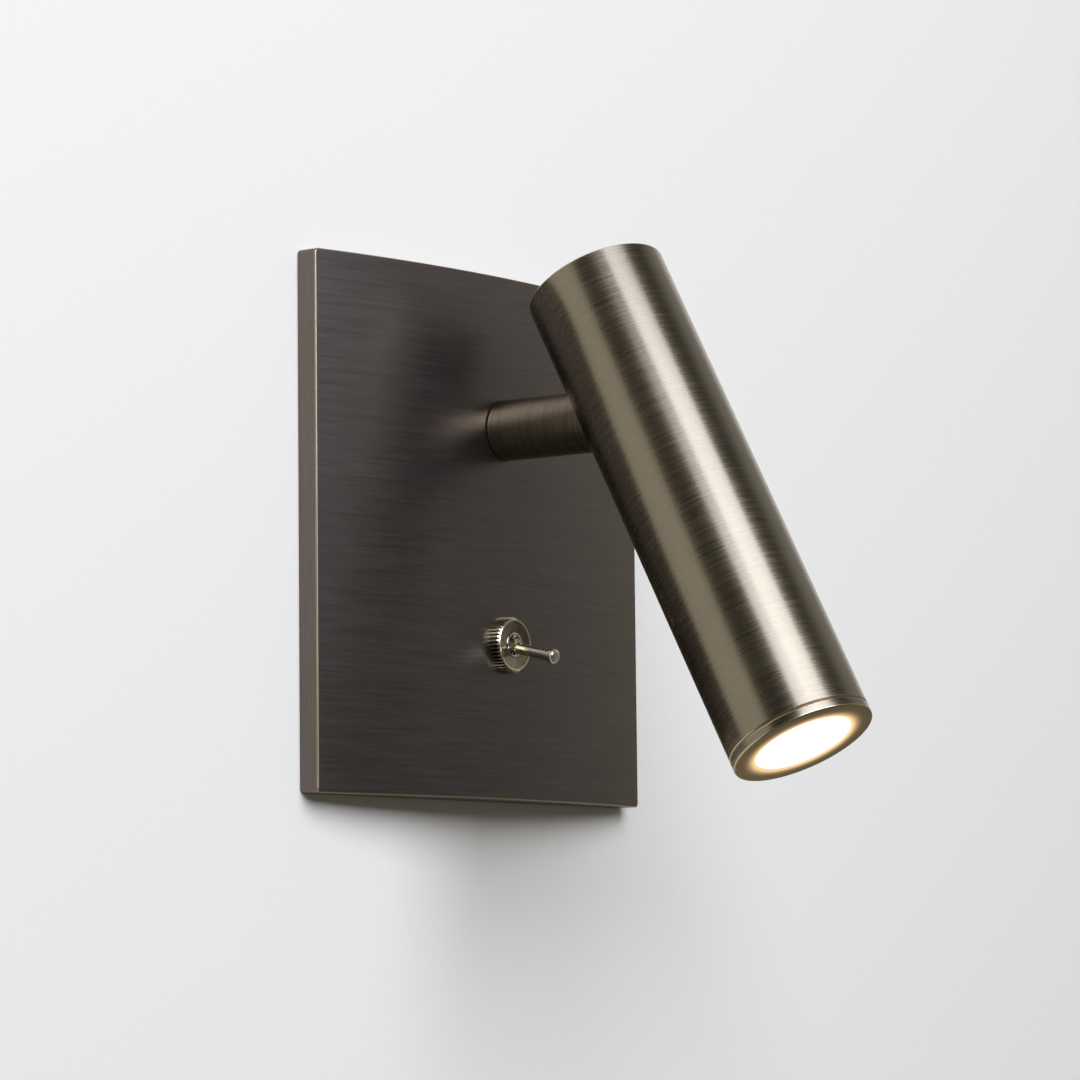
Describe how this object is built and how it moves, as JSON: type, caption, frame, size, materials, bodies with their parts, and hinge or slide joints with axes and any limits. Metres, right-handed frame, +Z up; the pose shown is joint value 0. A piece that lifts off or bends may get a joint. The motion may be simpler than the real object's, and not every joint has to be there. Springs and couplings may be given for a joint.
{
  "type": "wall reading lamp",
  "caption": "Bedside reading lamp: a bowed square wall plate carries a swivelling arm, a tilting tubular head with a flush lens, and a toggle switch.",
  "frame": {"origin": "centre of the wall plate's back face, on the wall, midway between the two fixing slots", "axes": "+X right as one faces the wall, +Y into the wall, +Z up"},
  "size_m": [0.13, 0.1319, 0.1337],
  "materials": {
    "plate_bronze": "dark bronze plating, brushed level",
    "arm_bronze": "dark bronze plating, brushed round",
    "head_bronze": "dark bronze plating, finely turned",
    "antique_brass": "antique brass, knurled rim",
    "bright_nickel": "polished nickel",
    "lens_opal": "opal diffuser, lit",
    "zinc_steel": "zinc plated",
    "dark_screw": "blackened",
    "plain_brass": "machined",
    "raw_aluminium": "machined",
    "bright_reflector": "mirror finish",
    "white_nylon": "smooth",
    "grey_fibre": "fibre",
    "black_rubber": "soft black",
    "terminal_plastic": "moulded white",
    "driver_plastic": "moulded white",
    "switch_plastic": "moulded dark blue",
    "component_black": "black",
    "circuit_board": "green board",
    "white_board": "white solder mask",
    "phosphor": "yellow phosphor",
    "lead_insulation": "insulated lead"
  },
  "bodies": {
    "wall_plate": {"cover_plate": "plate_bronze", "mounting_bracket": "zinc_steel", "cover_grub_screw": "bright_nickel", "cable_grommet": "black_rubber", "terminal_block": "terminal_plastic", "terminal_screws": "zinc_steel", "earth_stud": "plain_brass", "earth_nut": "plain_brass", "link_leads": "lead_insulation", "driver_case": "driver_plastic", "driver_lid": "driver_plastic", "driver_board": "circuit_board", "driver_components": "component_black", "driver_screws": "zinc_steel", "toggle_body": "switch_plastic", "toggle_terminals": "plain_brass", "toggle_bushing": "bright_nickel", "toggle_lock_washer": "zinc_steel", "toggle_lock_nut": "zinc_steel", "toggle_ring_nut": "antique_brass", "switch_leads": "lead_insulation", "plate_leads": "lead_insulation", "seat_washer": "white_nylon", "rear_washer": "white_nylon"},
    "arm": {"arm_tube": "arm_bronze", "swivel_spindle": "zinc_steel", "stop_washer": "zinc_steel", "spring_washer": "zinc_steel", "swivel_nut": "zinc_steel", "arm_knuckle": "plain_brass", "friction_washers": "grey_fibre", "slot_shield": "component_black", "arm_leads": "lead_insulation"},
    "head": {"head_tube": "head_bronze", "top_cap": "head_bronze", "cap_screws": "dark_screw", "pivot_yoke": "raw_aluminium", "pivot_screw": "zinc_steel", "heat_sink": "raw_aluminium", "thermal_pad": "grey_fibre", "led_board": "white_board", "board_screws": "zinc_steel", "led_emitter": "phosphor", "reflector": "bright_reflector", "lens_gasket": "black_rubber", "diffuser_lens": "lens_opal", "bezel_ring": "head_bronze", "head_leads": "lead_insulation"},
    "toggle": {"toggle_lever": "bright_nickel"}
  },
  "joints": [
    {"name": "arm_swivel", "type": "hinge", "parent": "wall_plate", "child": "arm", "pos_m": [0, 0, 0.0265], "axis": [0, 1, 0], "range_deg": [-172.2, 167.8]},
    {"name": "head_tilt", "type": "hinge", "parent": "arm", "child": "head", "pos_m": [0, -0.0581, 0.0265], "axis": [-0.9993, 0, 0.0384], "range_deg": [-28, 17]},
    {"name": "toggle_throw", "type": "hinge", "parent": "wall_plate", "child": "toggle", "pos_m": [0, -0.0118, -0.027], "axis": [-1, 0, 0], "range_deg": [0, 26]}
  ]
}
